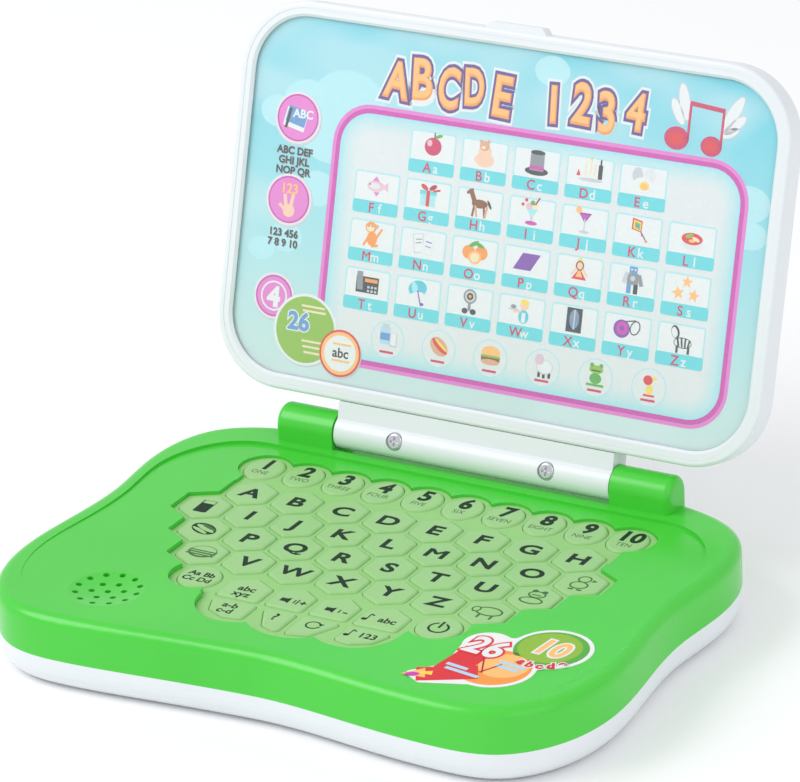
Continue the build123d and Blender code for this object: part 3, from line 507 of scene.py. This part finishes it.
# Twenty-six picture cards printed on the field, one for each letter: a pale tile with an aqua
# label and a small picture of an everyday thing. A picture is a list of spots of ink, each
# its corners (0 for a rectangle), place across and up, width, height, ink and turn.
column_step = 19.55
row_step = 16.34
card_wide, card_high = 17.2, 14.2
label_high = 4.4
pictures = {
    "A": [(24, 0, 0, 7.4, 7.0, "berry"), (20, -1.6, 1.2, 2.2, 2.6, "fish_pink"),
          (0, 0.4, 4.2, 0.6, 2.4, "brown"), (16, 2.2, 4.2, 3.4, 1.3, "leaf", 20)],
    "B": [(24, 0, -2.0, 8.6, 5.4, "skin"), (24, 0, 1.0, 5.6, 6.0, "skin"),
          (20, -0.4, 3.4, 4.4, 3.8, "tan"),
          (12, -2.0, 5.0, 1.5, 1.5, "tan"), (12, 1.2, 5.2, 1.5, 1.5, "tan"),
          (16, -0.8, 2.8, 1.8, 1.2, "cream")],
    "C": [(28, 0, -3.0, 10.0, 3.2, "charcoal"), (0, 0, 0.6, 6.0, 7.0, "grey"),
          (0, 0, -1.6, 6.2, 1.4, "rose"), (24, 0, 4.2, 6.2, 1.8, "charcoal")],
    "D": [(0, 4.4, 0.4, 1.8, 5.4, "charcoal"), (0, 4.4, 4.0, 0.7, 2.4, "charcoal"),
          (0, -1.8, 1.0, 0.6, 5.0, "cream"),
          (0, 0.2, 1.6, 0.6, 6.0, "cream"), (0, 2.0, 1.0, 0.6, 5.0, "cream"),
          (24, 0.6, -3.0, 10.4, 1.4, "silver"),
          (3, -4.8, -1.0, 2.0, 3.4, "red"), (12, 0.2, 5.0, 0.9, 1.3, "yellow")],
    "E": [(24, -2.6, 1.8, 4.6, 6.0, "silver"), (24, 2.6, 2.0, 4.6, 6.0, "pale_grey"),
          (24, 0, -1.6, 8.4, 5.6, "white"),
          (24, 0.6, -2.0, 4.2, 3.4, "yellow"), (20, 0.6, -2.2, 3.0, 2.2, "light_orange")],
    "F": [(24, -0.6, 0.2, 7.6, 4.2, "fish_pink"), (3, 4.0, 0.4, 4.4, 3.6, "fish_pink", 90),
          (20, -1.0, 0.2, 5.0, 2.4, "pale_grey"), (3, -0.6, 2.8, 3.6, 2.4, "pale_rose"),
          (3, 0, -2.6, 3.2, 2.2, "pale_rose", 180), (10, -3.2, 0.7, 0.7, 0.7, "purple")],
    "G": [(0, 0, -1.6, 6.6, 5.4, "pale_aqua"), (0, 0, 1.0, 7.4, 1.6, "aqua"),
          (0, 0, -1.2, 1.5, 6.2, "red"),
          (20, -1.8, 3.0, 3.6, 1.8, "red", -30), (20, 1.9, 3.2, 3.6, 1.8, "crimson", 32),
          (0, 3.6, 2.2, 3.2, 0.8, "red", 14)],
    "H": [(24, 0, 0, 7.0, 3.4, "brown"), (0, -2.6, -3.0, 0.9, 4.4, "brown", -8),
          (0, -1.4, -3.0, 0.9, 4.4, "tan", 12),
          (0, 2.2, -3.0, 0.9, 4.4, "brown", 8), (0, 3.0, -2.8, 0.9, 4.4, "tan", -10),
          (0, -3.2, 2.6, 1.9, 4.6, "brown", 25),
          (20, -4.6, 4.4, 3.4, 1.5, "brown", 35), (20, 4.2, 0.2, 1.0, 3.8, "charcoal", 30)],
    "I": [(3, 0, 0.4, 5.8, 5.0, "pale_aqua", 180), (0, 0, -2.4, 0.8, 2.6, "silver"),
          (24, 0, -4.0, 5.2, 1.6, "rose"),
          (20, -1.5, 2.4, 2.8, 2.6, "fish_pink"), (20, 1.3, 2.6, 2.8, 2.6, "cream"),
          (16, 0, 3.8, 2.0, 1.9, "leaf"),
          (12, -2.8, 4.6, 1.4, 1.4, "red"), (0, 2.0, 4.6, 0.6, 3.4, "crimson", -30),
          (12, -4.2, 2.8, 1.3, 1.3, "red")],
    "J": [(3, 0, 2.0, 6.4, 5.2, "violet", 180), (3, 0, 1.8, 4.4, 3.4, "rose", 180),
          (0, 0, -1.6, 0.5, 5.0, "silver"),
          (24, 0, -4.0, 4.4, 1.1, "silver"), (20, -2.8, 4.2, 2.6, 2.6, "light_orange")],
    "K": [(4, -0.6, 2.0, 5.6, 6.6, "red", 38), (4, -0.5, 1.9, 4.2, 5.2, "yellow", 38),
          (4, -0.4, 1.8, 2.8, 3.8, "lime", 38),
          (4, -0.4, 1.8, 1.5, 2.2, "blue", 38), (0, 2.6, -2.2, 0.4, 4.6, "charcoal", 38),
          (3, 1.8, -1.4, 1.6, 1.3, "rose", 60), (3, 3.6, -3.4, 1.6, 1.3, "orange", 20)],
    "L": [(24, 0.2, -1.2, 9.0, 6.2, "pale_grey"), (24, 0, 0.2, 8.8, 4.6, "red"),
          (20, -1.2, 1.2, 3.4, 1.6, "lime", 20),
          (20, 1.6, 0.2, 3.4, 1.4, "cream", -20), (16, 0, -0.6, 2.6, 1.2, "light_orange")],
    "M": [(24, 0, -1.4, 4.6, 5.6, "orange"), (24, -0.8, 3.0, 5.0, 4.4, "orange"),
          (20, -1.0, 2.6, 3.4, 2.6, "cream"),
          (12, 1.8, 3.6, 1.5, 1.7, "tan"), (0, 2.8, 0.6, 0.9, 5.4, "orange", -30),
          (0, -2.6, -2.6, 1.0, 4.0, "orange", -30),
          (0, 1.4, -4.0, 3.0, 1.0, "orange", 10), (10, -1.8, 3.4, 0.6, 0.6, "brown"),
          (10, -0.4, 3.4, 0.6, 0.6, "brown")],
    "N": [(0, -2.0, 0, 4.6, 7.6, "silver", 10), (0, 2.2, -0.2, 4.6, 7.6, "pale_grey", -8),
          (0, -2.0, 0.1, 3.9, 6.9, "white", 10),
          (0, 2.2, -0.1, 3.9, 6.9, "white", -8), (0, -2.0, 1.6, 2.6, 0.4, "grey", 10),
          (0, -2.1, 0.2, 2.6, 0.4, "grey", 10),
          (0, 2.4, 1.0, 2.6, 0.4, "violet", -8), (0, 2.2, -0.8, 2.6, 0.4, "grey", -8)],
    "O": [(24, -2.6, 0, 5.6, 5.4, "orange"), (24, 2.8, 0.2, 5.6, 5.4, "orange"),
          (24, 0.2, -1.8, 5.6, 5.2, "light_orange"),
          (24, 0.2, -1.8, 3.8, 3.6, "cream"), (20, -0.6, 3.4, 4.6, 1.7, "leaf", 30),
          (20, 1.8, 3.2, 4.6, 1.5, "leaf", -20)],
    "P": [(4, 0, 0, 13.2, 7.6, "violet", 30)],
    "Q": [(3, 0, -1.8, 7.4, 6.0, "red"), (3, 0, -1.2, 3.4, 4.6, "light_orange"),
          (20, 0, 2.0, 3.6, 3.9, "brown"),
          (20, 0, 2.0, 2.4, 2.8, "skin"), (3, 0, 4.5, 3.0, 2.0, "yellow"),
          (0, -2.4, -0.4, 0.8, 3.4, "skin", -40), (0, 2.4, -0.4, 0.8, 3.4, "skin", 40)],
    "R": [(0, 0, 0.4, 4.8, 4.4, "grey"), (0, 0, 3.8, 3.4, 2.6, "blue"),
          (0, -3.2, 0.6, 1.6, 4.4, "silver", -16),
          (0, 3.2, 0.2, 1.6, 4.4, "grey", 18), (0, -1.4, -3.4, 1.8, 3.6, "blue"),
          (0, 1.5, -3.4, 1.8, 3.6, "charcoal"),
          (12, -0.7, 4.0, 0.8, 0.8, "white"), (12, 0.8, 4.0, 0.8, 0.8, "white"),
          (16, 0, 0.6, 2.0, 2.0, "silver")],
    "S": [(10, 0, 2.8, 4.8, 4.8, "light_orange"), (10, -3.4, -1.8, 5.4, 5.4, "light_orange", 12),
          (10, 3.2, -2.0, 5.2, 5.2, "light_orange", -8)],
    "T": [(0, 0, -0.6, 10.0, 6.4, "charcoal"), (0, -3.4, 0.8, 2.6, 7.2, "grey", 4),
          (0, 1.6, 1.2, 5.6, 1.4, "orange"),
          (0, 0.6, -1.4, 1.0, 0.9, "silver"), (0, 2.2, -1.4, 1.0, 0.9, "silver"),
          (0, 3.8, -1.4, 1.0, 0.9, "silver"),
          (0, 0.6, -2.9, 1.0, 0.9, "silver"), (0, 2.2, -2.9, 1.0, 0.9, "silver"),
          (0, 3.8, -2.9, 1.0, 0.9, "silver")],
    "U": [(24, -0.4, 1.4, 8.2, 6.4, "cyan", 18), (20, -1.6, 1.2, 2.6, 5.6, "pale_aqua", 18),
          (20, -1.0, -1.4, 7.4, 2.6, "white", 18), (0, 0.6, -2.2, 0.5, 6.2, "violet", 18),
          (12, 2.0, -4.4, 1.6, 1.2, "violet")],
    "V": [(24, 0, 2.0, 5.8, 5.8, "grey"), (24, 0, 2.0, 4.4, 4.4, "silver"),
          (20, 0, 2.0, 2.8, 2.8, "charcoal"),
          (12, 0, 2.0, 1.4, 1.4, "orange"), (0, 0, -2.0, 1.2, 3.0, "grey"),
          (16, -1.8, -3.8, 2.6, 2.2, "charcoal"), (16, 1.8, -3.8, 2.6, 2.2, "charcoal")],
    "W": [(24, 1.0, -2.2, 4.4, 5.4, "cyan"), (20, 1.0, 2.2, 3.6, 3.9, "skin"),
          (20, 1.2, 3.4, 3.9, 2.2, "yellow", -10),
          (0, -1.8, -0.4, 3.6, 0.9, "skin", 10), (24, -3.6, 0.2, 4.6, 0.9, "silver"),
          (16, -3.6, 1.2, 2.4, 1.6, "grey"), (0, 1.0, -2.6, 1.6, 3.8, "white")],
    "X": [(0, 0, 0, 6.6, 9.4, "charcoal"), (24, 0, 0.4, 4.2, 7.4, "blue"),
          (20, -0.9, 0.8, 1.0, 5.2, "grey"),
          (20, 1.0, 0.8, 1.0, 5.2, "grey"), (0, 0, 0.2, 0.6, 7.6, "silver")],
    "Y": [(24, -2.4, 0, 7.0, 7.0, "violet"), (24, -2.2, 0.2, 5.0, 5.2, "rose"),
          (24, -2.2, 0.2, 2.0, 2.0, "violet"),
          (24, 3.2, 1.0, 4.2, 5.8, "charcoal", -20), (24, 3.2, 1.0, 3.3, 4.9, "white", -20),
          (0, 1.0, 3.4, 4.4, 0.45, "charcoal", 12)],
    "Z": [(24, 0.8, -1.4, 7.6, 4.2, "charcoal"), (24, 0.8, -1.4, 7.0, 3.6, "white"),
          (24, -2.6, 2.4, 3.4, 5.2, "charcoal", 18), (20, -2.9, 2.2, 2.4, 4.2, "white", 18),
          (0, -1.2, -1.0, 0.8, 4.0, "charcoal", 14), (0, 0.4, -1.2, 0.7, 3.8, "charcoal", 8),
          (0, 1.9, -1.4, 0.7, 3.6, "charcoal"),
          (0, 3.4, -1.4, 0.7, 3.0, "charcoal", -12), (0, -1.4, -4.0, 0.9, 2.8, "charcoal"),
          (0, 3.4, -4.0, 0.9, 2.8, "charcoal")],
}
columns, rows = 7, 4
first_row_cards = 5
lowest_row_y = 49.0
label_size = 4.6
picture_up, picture_scale = 2.2, 0.86
tiles = []
for order, letter in enumerate(letters):
    row, column = (0, order + 1) if order < first_row_cards else divmod(order + 2, columns)
    x = field_x + (column - columns // 2) * column_step
    y = lowest_row_y + (rows - 1 - row) * row_step
    label_y = y - (card_high - label_high) / 2
    tiles.append(card(card_wide, card_high, 1.0, x, y, "pale_aqua", 3))
    tiles.append(card(card_wide - 1.0, card_high - 1.0, 0.7, x, y, "white", 4))
    tiles.append(card(card_wide, label_high, 0.9, x, label_y, "aqua", 5))
    tiles += bold_letter(letter, x - 1.5, label_y, label_size, "berry", 0.08, 1.0, 6)
    tiles += bold_letter(letter.lower(), x + 1.7, label_y, label_size, "white", 0.06, 1.0, 6)
    tiles.extend(picture(pictures[letter], x, y + picture_up, 5, picture_scale))
joined(tiles, "picture_cards", lid_print, "lid")

# Six round pictures printed in a row under the cards, each a ringed pale disc with a small
# picture and a red bar under it.
round_pictures = {
    "milk": [(0, -1.0, 0.6, 3.8, 6.0, "sky"), (0, -1.0, 0.2, 3.8, 2.4, "blue"),
             (0, -1.0, 3.9, 2.6, 1.4, "silver"),
             (0, 2.2, -0.6, 2.8, 4.8, "silver"), (0, 2.2, -0.4, 2.0, 4.0, "white")],
    "bun": [(24, 0, 0, 7.6, 5.4, "tan", -38), (24, 0.3, 0.2, 7.4, 2.4, "red", -38),
            (24, 0.8, 0.6, 6.4, 1.0, "yellow", -38)],
    "burger": [(24, 0, 1.2, 7.0, 4.4, "light_orange"), (0, 0, -0.2, 7.2, 1.0, "lime"),
               (0, 0, -1.0, 7.0, 1.2, "brown"), (24, 0, -2.0, 6.8, 2.0, "tan")],
    "sheep": [(0, -1.2, -3.0, 1.0, 1.8, "charcoal"), (0, 0.6, -3.2, 1.0, 1.8, "charcoal"),
              (0, 2.6, -3.0, 1.0, 1.8, "charcoal"),
              (24, 0.7, -0.4, 6.2, 4.8, "silver"), (24, 0.7, -0.3, 5.6, 4.2, "white"),
              (20, -1.4, 2.0, 3.4, 3.6, "silver"), (20, -1.4, 1.8, 2.4, 3.0, "fish_pink")],
    "frog": [(24, 0, -1.0, 4.4, 3.6, "leaf"), (24, 0, 2.0, 5.2, 2.8, "lime"),
             (12, -1.7, 3.4, 1.5, 1.5, "leaf"),
             (12, 1.7, 3.4, 1.5, 1.5, "leaf"), (0, 0, -3.2, 6.4, 0.8, "leaf"),
             (0, 0, 1.6, 3.4, 0.4, "charcoal")],
    "duck": [(24, -0.6, 1.6, 3.4, 3.2, "red"), (3, 1.8, 2.4, 2.2, 2.2, "yellow", -90),
             (24, 0.2, -1.4, 2.6, 3.0, "yellow"), (0, 0.2, -3.4, 4.0, 0.7, "red")],
}
round_first_x, round_step, round_y = -37.0, 19.6, 33.6
round_size, round_ring = 12.8, 0.7
rounds = []
for order, shapes in enumerate(round_pictures.values()):
    x = round_first_x + round_step * order
    inner = round_size - round_ring
    rounds.append(spot(40, x, round_y, round_size, round_size, "pale_aqua", 3))
    rounds.append(spot(40, x, round_y, inner, inner, "paper", 4))
    rounds.append(spot(0, x, round_y - 4.2, 5.2, 0.8, "berry", 5))
    rounds.extend(picture(shapes, x, round_y + 0.8, 5))
joined(rounds, "picture_rounds", lid_print, "lid")

# Clouds printed pale on the sky, under everything else: overlapping flat puffs, each a little
# higher than the one before.
clouds = []
for x, y, puff in ((-61.0, 110.0, 22.0), (-76.0, 108.5, 15.0), (-87.0, 104.0, 11.0),
                   (-66.0, 98.0, 18.0), (-70.0, 80.0, 12.0),
                   (-80.0, 62.0, 10.0), (-89.0, 57.0, 8.0), (89.0, 98.0, 12.0), (91.0, 88.0, 9.0),
                   (14.0, 131.0, 10.0)):
    clouds.append(spot(40, x, y, 1.3 * puff, puff, "cloud", -0.9 + 0.08 * len(clouds)))
joined(clouds, "picture_clouds", lid_print, "lid")

# Title row printed over the frame: fat orange letters with a purple outline on a white halo,
# set unevenly as if bouncing.
title_first_x, title_step, title_y = -43.5, 9.9, 121.0
title_tilts = (-4, 3, -2, 4, -3)
title = []
for order, letter in enumerate("ABCDE 1234"):
    if letter == " ":
        continue
    x = title_first_x + title_step * order
    y = title_y + (1.2 if order % 2 else -0.4)
    tilt = title_tilts[order % len(title_tilts)]
    size = 18.5 if order % 3 else 16.5
    squeeze = 0.62 if letter in "CD" else 0.76
    title.append(lettering(letter, x, y, size, "white", 0, weight=2.7, stretch=squeeze, turn=tilt))
    title.append(lettering(letter, x, y, size, "purple", 1, weight=1.8, stretch=squeeze, turn=tilt))
    title.append(lettering(letter, x, y, size, "orange", 2, weight=0.75, stretch=squeeze,
                           turn=tilt))
    title.append(lettering(letter, x - 0.15, y + 0.35, size, "light_orange", 3, weight=0.2,
                           stretch=squeeze, turn=tilt))
joined(title, "picture_title", lid_print, "lid")

# Music note printed beside the title: two red heads, two stems and a beam, with a pair of
# small white wings behind it.
note = [spot(28, 61.0, 115.6, 8.8, 7.6, "berry", 1), spot(28, 73.6, 114.6, 7.6, 6.6, "berry", 1),
        spot(28, 60.8, 115.6, 5.2, 4.2, "red", 2), spot(28, 73.4, 114.6, 4.6, 3.6, "red", 2),
        spot(0, 65.0, 121.4, 0.9, 12.4, "berry", 1), spot(0, 76.9, 120.4, 0.9, 12.4, "berry", 1),
        spot(0, 71.0, 127.0, 12.6, 1.5, "berry", 2, -4.6)]
for x, y, wide, high, turn in ((62.6, 127.6, 3.6, 12.0, 14), (60.6, 124.2, 3.2, 9.0, 30),
                               (80.2, 126.0, 3.8, 13.0, -28),
                               (81.2, 122.4, 3.2, 9.4, -48), (79.6, 119.8, 2.8, 7.0, -64)):
    note += [spot(24, x, y, wide + 0.7, high + 0.7, "silver", 0, turn),
             spot(24, x, y, wide, high, "white", 0.5, turn)]
joined(note, "picture_note", lid_print, "lid")

# Round badges printed down the left: pink discs with a book, a hand and a number, short rows
# of letters and digits under two of them, a green disc and a ringed white disc. All are
# plain generic signs.
badges = []
for x, y, disc in ((-79.6, 102.6, 17.6), (-80.1, 74.7, 17.6), (-82.2, 41.5, 15.8)):
    badges += [spot(48, x + 0.3, y - 0.4, disc + 0.6, disc + 0.6, "silver", 0),
               spot(48, x, y, disc, disc, "pale_grey", 1),
               spot(48, x, y, disc - 1.6, disc - 1.6, "rose", 2),
               spot(48, x, y, disc - 2.8, disc - 2.8, "pale_rose", 3)]
badges += picture([(0, -0.8, -0.6, 8.4, 6.6, "white", -12), (0, -0.4, 0.4, 7.6, 5.6, "blue", -12),
                   (0, -3.6, -0.4, 1.0, 7.0, "charcoal", -12)],
                  -79.6, 102.6, 4)
badges.append(lettering("ABC", -77.6, 104.2, 4.0, "white", 7, weight=0.12))
badges += picture([(24, 0, -3.0, 4.6, 4.4, "skin"), (0, -1.5, 0.2, 1.3, 4.6, "skin", 10),
                   (0, 1.0, 0.4, 1.3, 4.8, "skin", -10),
                   (0, -2.6, -2.0, 1.1, 3.0, "skin", 50)], -79.8, 74.0, 4)
badges.append(lettering("123", -80.1, 78.6, 4.6, "light_orange", 7, weight=0.12))
badges += [spot(48, -82.2, 41.5, 10.2, 10.2, "white", 4),
           spot(48, -82.2, 41.5, 9.0, 9.0, "pale_rose", 5),
           lettering("4", -82.2, 41.4, 9.0, "white", 6, weight=0.5)]
badges += [spot(56, -68.5, 31.5, 24.6, 24.6, "silver", 0),
           spot(56, -68.8, 31.9, 24.4, 24.4, "white", 7),
           spot(56, -68.8, 31.9, 22.6, 22.6, "lime", 8),
           lettering("26", -71.6, 34.6, 8.4, "white", 9, weight=0.7),
           lettering("26", -71.6, 34.6, 8.4, "blue", 10, weight=0.3)]
for line in range(5):
    badges.append(spot(0, -66.5 + 0.6 * line, 40.0 - 1.6 * line if line < 2 else 32.0 - 1.9 * line,
                       9.0, 0.7, "cream", 9))
badges += [spot(48, -54.3, 25.7, 16.2, 16.2, "silver", 9),
           spot(48, -54.5, 26.1, 16.0, 16.0, "red", 11),
           spot(48, -54.5, 26.1, 14.6, 14.6, "light_orange", 12),
           spot(48, -54.5, 26.1, 12.2, 12.2, "white", 13),
           lettering("abc", -54.3, 26.4, 4.6, "charcoal", 14, weight=0.1),
           spot(0, -54.0, 23.6, 7.0, 0.7, "light_orange", 14),
           spot(0, -54.0, 29.2, 7.0, 0.7, "light_orange", 14)]
for text, x, y in (("ABC DEF", -79.6, 91.5), ("GHI JKL", -79.6, 88.1), ("NOP QR", -79.6, 84.7),
                   ("123 456", -81.0, 63.4), ("7 8 9 10", -81.0, 60.0)):
    badges += [lettering(text, x + 0.2, y - 0.25, 3.5, "grey", 0, weight=0.12),
               lettering(text, x, y, 3.5, "charcoal", 1, weight=0.12)]
joined(badges, "picture_badges", lid_print, "lid")

# Clear film over the picture: a thin sheet of glossy transparent plastic, clamped with the
# card under the white ring.
film = bpy.data.materials.new("clear_film")
film.use_nodes = True
film_shader = film.node_tree.nodes["Principled BSDF"]
film_where = film.node_tree.nodes.new("ShaderNodeTexCoord")
film_haze = film.node_tree.nodes.new("ShaderNodeTexNoise")
film_haze.inputs["Scale"].default_value = 20.0
film_gloss = film.node_tree.nodes.new("ShaderNodeMapRange")
film_gloss.inputs["To Min"].default_value = 0.12
film_gloss.inputs["To Max"].default_value = 0.22
film.node_tree.links.new(film_where.outputs["Object"], film_haze.inputs["Vector"])
film.node_tree.links.new(film_haze.outputs["Fac"], film_gloss.inputs["Value"])
film.node_tree.links.new(film_gloss.outputs["Result"], film_shader.inputs["Roughness"])
film_shader.inputs["Base Color"].default_value = (0.95, 0.98, 1.0, 1.0)
film_shader.inputs["Alpha"].default_value = 0.06
finish_node("picture_window", film)

# Screws, pins, contacts and speaker frame: bright plated steel. The screws hold the casing and
# the hinge cover, and the pins carry the lid.
def bright_metal(name, colour, roughness, marks):
    """Plated metal with fine marks from drawing and handling."""
    material = bpy.data.materials.new(name)
    material.use_nodes = True
    tree = material.node_tree
    shader = tree.nodes["Principled BSDF"]
    shader.inputs["Base Color"].default_value = (*colour, 1.0)
    shader.inputs["Metallic"].default_value = 1.0
    where = tree.nodes.new("ShaderNodeTexCoord")
    streaks = tree.nodes.new("ShaderNodeTexNoise")
    streaks.inputs["Scale"].default_value = marks
    streaks.inputs["Detail"].default_value = 4.0
    wear = tree.nodes.new("ShaderNodeMapRange")
    wear.inputs["To Min"].default_value = roughness - 0.08
    wear.inputs["To Max"].default_value = roughness + 0.12
    tree.links.new(where.outputs["Object"], streaks.inputs["Vector"])
    tree.links.new(streaks.outputs["Fac"], wear.inputs["Value"])
    tree.links.new(wear.outputs["Result"], shader.inputs["Roughness"])
    return material


plated_steel = bright_metal("plated_steel", (0.66, 0.67, 0.70), 0.26, 700.0)
for name in ("hinge_screws", "case_screws", "battery_door_screw", "hinge_pins", "battery_contacts",
             "speaker_frame"):
    finish_node(name, plated_steel)

# Hidden insides: cells in plain dark jackets, green laminate board, black paper cone, ferrite
# magnet and red sleeved leads.
finish_node("batteries", moulded_plastic("cell_jacket", (0.05, 0.055, 0.07), (0.035, 0.04, 0.05),
                                         0.3, 0.05))
finish_node("circuit_board", moulded_plastic("board_laminate", (0.03, 0.17, 0.06),
                                             (0.02, 0.12, 0.045), 0.45, 0.3))
finish_node("speaker_cone", moulded_plastic("cone_paper", (0.02, 0.02, 0.022),
                                            (0.014, 0.014, 0.015), 0.85, 0.8))
finish_node("speaker_magnet", moulded_plastic("magnet_ferrite", (0.05, 0.05, 0.055),
                                              (0.035, 0.035, 0.04), 0.6, 0.5))
finish_node("lead_wires", moulded_plastic("wire_sleeve", (0.55, 0.02, 0.02), (0.48, 0.015, 0.015),
                                          0.4, 0.1))

# Die-cut sticker at the right front corner: glossy white film stuck on the sloping panel, and
# printed with a numbered green disc, an orange ball with a red tail and plain label bars.
sticker_film = moulded_plastic("sticker_film", (0.86, 0.84, 0.84), (0.84, 0.82, 0.82), 0.3, 0.04)
finish_node("base_sticker", sticker_film)
sticker_low, sticker_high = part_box("base_sticker")
sticker_middle = (sticker_low + sticker_high) / 2
panel_drop, panel_run = 1.1, 132.0
half_film = 0.095
sticker_tilt = Matrix.Rotation(math.atan(-panel_drop / panel_run), 4, "X")
sticker_top = (Matrix.Translation((0, sticker_middle.y,
                                   sticker_middle.z + half_film * MM)) @ sticker_tilt
               @ Matrix.Translation((0, -sticker_middle.y, 0)))
sticker_art = [spot(48, 84.35, -32.1, 23.8, 23.8, "leaf", 0),
               spot(48, 83.6, -31.6, 20.4, 20.4, "lime", 1),
               spot(48, 74.2, -50.5, 23.8, 23.8, "orange", 0),
               spot(48, 76.6, -48.4, 16.0, 16.0, "light_orange", 1),
               spot(0, 63.4, -50.0, 10.4, 17.0, "red", 2, -8),
               spot(0, 63.0, -60.0, 19.0, 9.0, "red", 3, 28),
               spot(3, 54.6, -63.8, 7.4, 10.0, "light_orange", 4, 118),
               spot(3, 56.8, -62.6, 3.0, 9.0, "yellow", 5, 110),
               spot(24, 53.6, -65.0, 4.6, 2.6, "rose", 6, 26)]
for x, y, long in ((78.6, -47.0, 9.6), (78.2, -49.6, 8.6), (63.6, -54.6, 8.0), (66.8, -57.6, 12.6)):
    sticker_art.append(spot(0, x, y, long, 1.5, "sky", 7, -9))
sticker_art.append(spot(0, 70.5, -50.8, 0.5, 9.6, "crimson", 7, 24))
sticker_art.append(spot(0, 73.6, -51.6, 0.5, 8.4, "crimson", 7, -28))
for text, x, y, size, fill, rim in (("26", 65.2, -39.0, 15.5, "white", "red"),
                                    ("10", 84.2, -31.4, 13.5, "light_orange", "white")):
    sticker_art += [lettering(text, x, y, size, rim, 8, weight=1.15, stretch=0.86, turn=-6),
                    lettering(text, x, y, size, fill, 9, weight=0.38, stretch=0.86, turn=-6)]
for letter, x, y, turn in (("a", 79.6, -43.2, -24), ("b", 83.2, -44.2, -6), ("c", 86.8, -43.9, 10),
                           ("d", 90.4, -42.2, 26), ("e", 93.4, -39.4, 44)):
    sticker_art.append(lettering(letter, x, y, 5.0, "white", 8, weight=0.7, turn=turn))
    sticker_art.append(lettering(letter, x, y, 5.0, "red", 9, weight=0.25, turn=turn))
joined(sticker_art, "sticker_print", sticker_top, "base")

# Studio: pale plain floor, a bright even room, two large soft boxes and the camera in front,
# to the right and above.
floor_size = 8.0
bpy.ops.mesh.primitive_plane_add(size=floor_size)
floor = bpy.context.object
floor.name = "studio_floor"
floor_material = bpy.data.materials.new("pale_floor")
floor_material.use_nodes = True
floor_shader = floor_material.node_tree.nodes["Principled BSDF"]
floor_shader.inputs["Base Color"].default_value = (0.96, 0.96, 0.96, 1)
floor_shader.inputs["Roughness"].default_value = 0.9
floor.data.materials.append(floor_material)

camera_data = bpy.data.cameras.new("camera")
camera_data.lens = 223.7
camera_data.sensor_width = 36.0
camera_data.clip_end = 20.0
camera = bpy.data.objects.new("camera", camera_data)
camera.location = (0.7467, -1.2299, 0.7193)
camera.rotation_euler = (math.radians(66.17), math.radians(2.56), math.radians(29.6))
bpy.context.scene.collection.objects.link(camera)
bpy.context.scene.camera = camera

world = bpy.data.worlds.new("studio_air")
world.use_nodes = True
world.node_tree.nodes["Background"].inputs["Color"].default_value = (0.97, 0.98, 1.0, 1)
world.node_tree.nodes["Background"].inputs["Strength"].default_value = 0.84
bpy.context.scene.world = world


def soft_light(name, place, aim, size, power):
    """Large soft box hung over the table."""
    data = bpy.data.lights.new(name, "AREA")
    data.size = size
    data.energy = power
    light = bpy.data.objects.new(name, data)
    light.location = place
    light.rotation_euler = (Vector(aim) - Vector(place)).to_track_quat("-Z", "Y").to_euler()
    bpy.context.scene.collection.objects.link(light)


soft_light("key_light", (-0.9, -0.7, 1.15), (0, 0, 0.05), 0.9, 10.0)
soft_light("fill_light", (1.3, -0.6, 0.9), (0, 0, 0.05), 1.2, 3.0)
